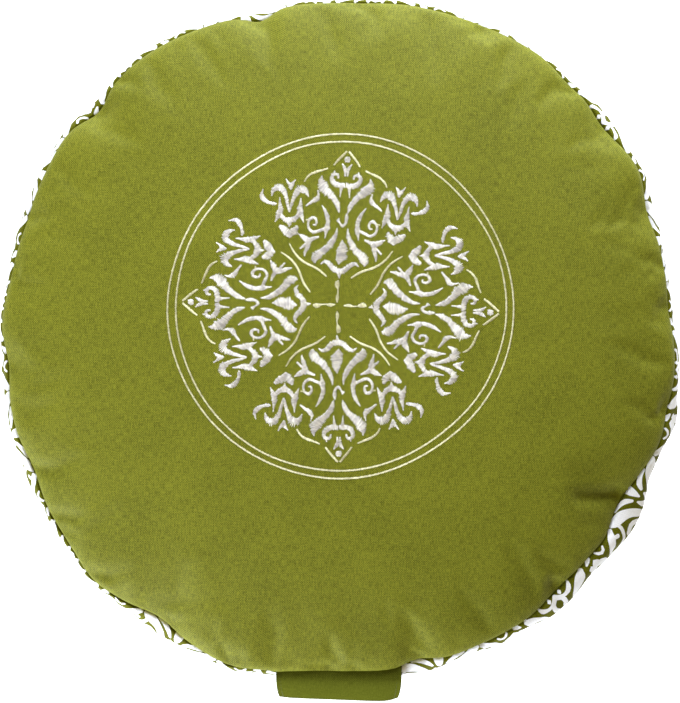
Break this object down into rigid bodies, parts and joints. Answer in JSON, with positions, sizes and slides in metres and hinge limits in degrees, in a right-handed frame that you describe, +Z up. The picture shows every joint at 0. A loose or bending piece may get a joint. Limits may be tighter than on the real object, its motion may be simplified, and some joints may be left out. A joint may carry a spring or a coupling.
{
  "type": "zafu meditation cushion",
  "caption": "Round crowned meditation cushion in plain cotton, with an embroidered medallion on top, a printed side band and a carrying strap.",
  "frame": {"origin": "centre of the flat resting face, on the floor", "axes": "+Z up through the crown; -Y towards the carrying strap; +X to the right when facing the strap"},
  "size_m": [0.3249, 0.3401, 0.15],
  "materials": {
    "plain_cotton": "matte plain weave",
    "printed_cotton": "matte printed plain weave",
    "strap_cotton": "matte plain weave, folded and topstitched"
  },
  "bodies": {
    "root": {"top_panel": "plain_cotton", "bottom_panel": "plain_cotton", "side_band": "printed_cotton", "handle": "strap_cotton"}
  },
  "joints": []
}
